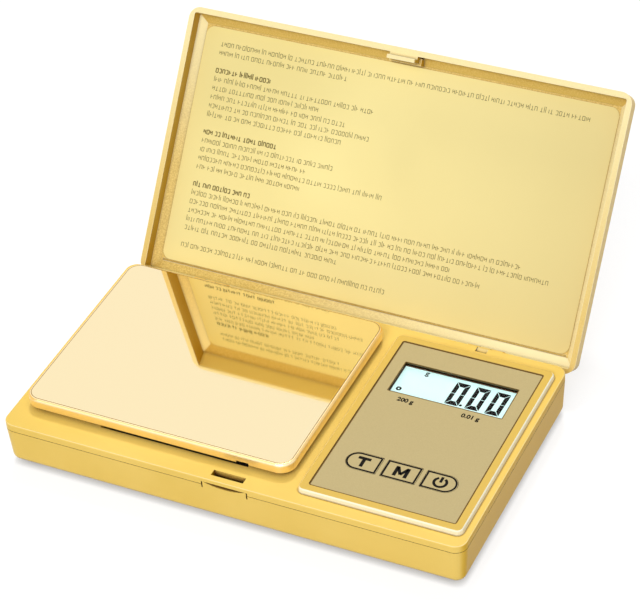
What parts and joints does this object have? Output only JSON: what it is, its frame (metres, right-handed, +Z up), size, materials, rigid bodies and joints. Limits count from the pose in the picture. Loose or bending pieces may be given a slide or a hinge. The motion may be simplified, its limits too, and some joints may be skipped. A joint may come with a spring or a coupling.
{
  "type": "digital pocket scale",
  "caption": "Flat pocket scale with a hinged lid standing open, a square-cornered weighing tray on a sprung load cell, and a raised panel with a display and press keys.",
  "frame": {"origin": "centre of the base's outline, on the plane that its feet stand on", "axes": "+X runs along the hinge to the display side, +Y from the front edge towards the hinge, +Z up"},
  "size_m": [0.127, 0.1223, 0.0681],
  "materials": {
    "gold_case": "satin, fine moulded grain",
    "gold_tray": "mirror gloss",
    "lid_foil": "satin film",
    "overlay_film": "matt printed film",
    "window_clear": "clear acrylic",
    "lcd": "polariser film",
    "light_guide": "white diffuser",
    "connector_rubber": "soft",
    "black_plastic": "matt",
    "board_green": "solder mask",
    "bar_aluminium": "milled",
    "gauge_resin": "silicone coat",
    "screw_steel": "zinc plated",
    "contact_nickel": "nickel plated strip",
    "cell_jacket": "plain wrapped can",
    "foot_rubber": "matt",
    "wire_red": "soft insulation"
  },
  "bodies": {
    "base": {"bottom_case": "gold_case", "top_case": "gold_case", "battery_left": "cell_jacket", "battery_right": "cell_jacket", "bridge_contact": "contact_nickel", "terminal_contacts": "contact_nickel", "load_cell": "bar_aluminium", "gauge_covers": "gauge_resin", "cell_screws": "screw_steel", "overload_screw": "screw_steel", "circuit_board": "board_green", "board_parts": "black_plastic", "board_screws": "screw_steel", "tact_switches": "black_plastic", "backlight": "light_guide", "zebra_strip": "connector_rubber", "lcd_glass": "lcd", "lcd_holder": "black_plastic", "display_window": "window_clear", "overlay_panel": "overlay_film", "case_screws": "screw_steel", "rubber_feet": "foot_rubber", "cell_lead": "wire_red", "battery_leads": "wire_red", "hinge_pins": "screw_steel"},
    "tray": {"weighing_tray": "gold_tray", "tray_pads": "gauge_resin", "tray_carrier": "black_plastic", "carrier_screws": "screw_steel"},
    "lid": {"lid": "gold_case", "lid_label": "lid_foil"},
    "battery_door": {"battery_door": "gold_case"},
    "key_tare": {"key_tare": "overlay_film"},
    "key_mode": {"key_mode": "overlay_film"},
    "key_power": {"key_power": "overlay_film"}
  },
  "joints": [
    {"name": "lid_hinge", "type": "hinge", "parent": "base", "child": "lid", "pos_m": [0, 0.03714, 0.01134], "axis": [1, 0, 0], "range_deg": [0, 126.5]},
    {"name": "tray_press", "type": "slide", "parent": "base", "child": "tray", "axis": [0, 0, -1], "range_m": [0, 0.0003], "stiffness_N_per_m": 6500, "deforming": ["load_cell"]},
    {"name": "battery_door_swing", "type": "hinge", "parent": "base", "child": "battery_door", "pos_m": [-0.0505, 0.0249, 0.001], "axis": [1, 0, 0], "range_deg": [0, 60]},
    {"name": "key_tare_press", "type": "slide", "parent": "base", "child": "key_tare", "axis": [0, 0, -1], "range_m": [0, 0.0002], "stiffness_N_per_m": 2000},
    {"name": "key_mode_press", "type": "slide", "parent": "base", "child": "key_mode", "axis": [0, 0, -1], "range_m": [0, 0.0002], "stiffness_N_per_m": 2000},
    {"name": "key_power_press", "type": "slide", "parent": "base", "child": "key_power", "axis": [0, 0, -1], "range_m": [0, 0.0002], "stiffness_N_per_m": 2000}
  ]
}
